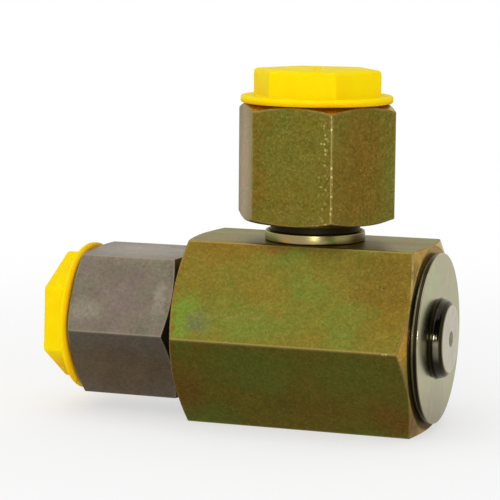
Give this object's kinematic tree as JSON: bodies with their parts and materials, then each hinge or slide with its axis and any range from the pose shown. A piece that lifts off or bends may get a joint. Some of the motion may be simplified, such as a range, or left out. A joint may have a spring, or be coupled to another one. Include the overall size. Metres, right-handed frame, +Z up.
{
  "type": "swivel fitting",
  "caption": "Right-angle hydraulic swivel fitting: hexagon body on a flanged turning spindle, a swivel nut on each port, ports closed by plastic plugs.",
  "frame": {"origin": "middle of the body's lower flat, under the port axis", "axes": "+Z up along the port axis, +X along the swivel axis towards the spindle's flange; the swivel axis lies 20.5 mm above the origin"},
  "size_m": [0.0926, 0.0474, 0.0793],
  "materials": {
    "yellow_zinc": "zinc plated and yellow passivated, olive and gold with faint green and orange patches",
    "plain_zinc": "zinc plated, satin grey-brown",
    "turned_steel": "turned and satin plated",
    "spring_steel": "dark hardened spring steel",
    "bronze": "plain bearing bronze",
    "rubber": "black nitrile rubber",
    "white_plastic": "white fluoroplastic",
    "yellow_plastic": "moulded yellow polyethylene, slightly glossy"
  },
  "bodies": {
    "body": {"body": "yellow_zinc", "port_stub": "yellow_zinc", "port_stub_o_ring": "rubber", "top_cone_o_ring": "rubber", "thrust_washer": "turned_steel", "dust_seal": "rubber", "flange_bush": "bronze", "nose_bush": "bronze", "flange_seal": "rubber", "nose_seal": "rubber", "flange_backup_ring": "white_plastic", "nose_backup_ring": "white_plastic", "inner_thrust_washer": "turned_steel"},
    "spindle": {"spindle": "turned_steel", "retaining_ring": "spring_steel", "side_cone_o_ring": "rubber"},
    "side_nut": {"side_nut": "plain_zinc", "side_nut_wire": "spring_steel", "side_plug": "yellow_plastic"},
    "top_nut": {"top_nut": "yellow_zinc", "top_nut_wire": "spring_steel", "top_plug": "yellow_plastic"}
  },
  "joints": [
    {"name": "spindle_turn", "type": "hinge", "parent": "body", "child": "spindle", "pos_m": [0, 0, 0.0205], "axis": [1, 0, 0], "continuous": true},
    {"name": "side_nut_turn", "type": "hinge", "parent": "spindle", "child": "side_nut", "pos_m": [-0.0409, 0, 0.0205], "axis": [1, 0, 0], "continuous": true},
    {"name": "top_nut_turn", "type": "hinge", "parent": "body", "child": "top_nut", "pos_m": [0, 0, 0.0585], "axis": [0, 0, 1], "continuous": true}
  ]
}
